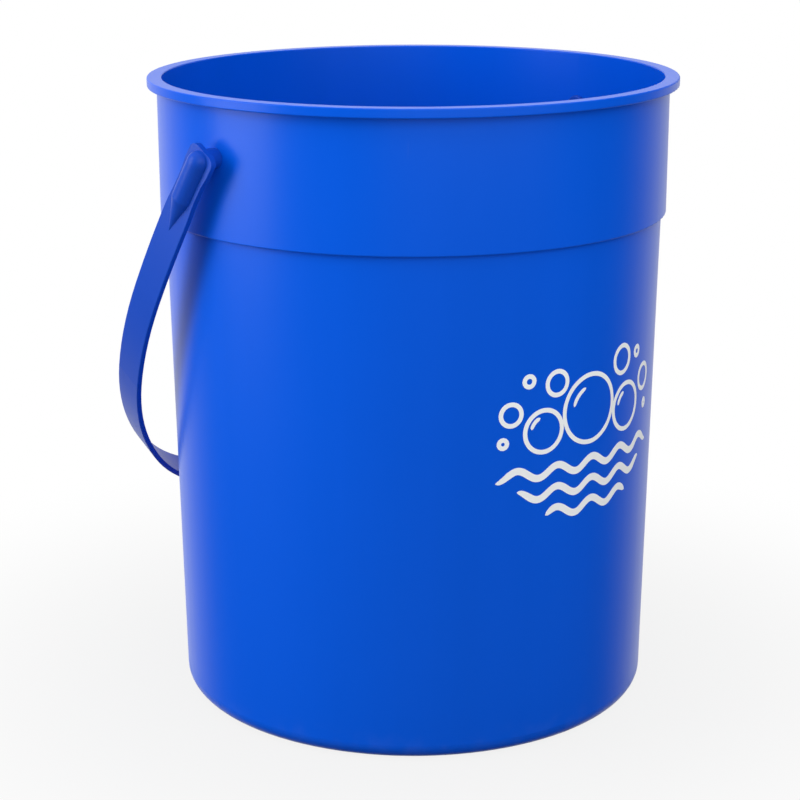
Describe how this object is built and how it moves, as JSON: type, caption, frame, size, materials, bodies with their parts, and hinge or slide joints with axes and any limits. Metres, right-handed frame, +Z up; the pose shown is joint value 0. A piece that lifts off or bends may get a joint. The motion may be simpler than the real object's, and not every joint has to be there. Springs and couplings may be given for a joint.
{
  "type": "wash bucket",
  "caption": "Small round plastic pail with a stepped upper band, a flat rim flange and a swinging strap handle, for washing a car.",
  "frame": {"origin": "middle of the pail's underside, on the surface it stands on", "axes": "+Z up, X along the line of the two handle studs, +Y towards the side where the handle hangs at rest"},
  "size_m": [0.2166, 0.2049, 0.2405],
  "materials": {
    "pail_plastic": "smooth, lightly glossy moulded polypropylene",
    "stud_plastic": "smooth moulded polypropylene",
    "handle_plastic": "satin moulded polypropylene"
  },
  "bodies": {
    "pail": {"bucket_shell": "pail_plastic", "pivot_stud_right": "stud_plastic", "pivot_stud_left": "stud_plastic"},
    "bail": {"bail_handle": "handle_plastic"}
  },
  "joints": [
    {"name": "bail_swing", "type": "hinge", "parent": "pail", "child": "bail", "pos_m": [0, 0, 0.219], "axis": [1, 0, 0], "range_deg": [0, 295]}
  ]
}
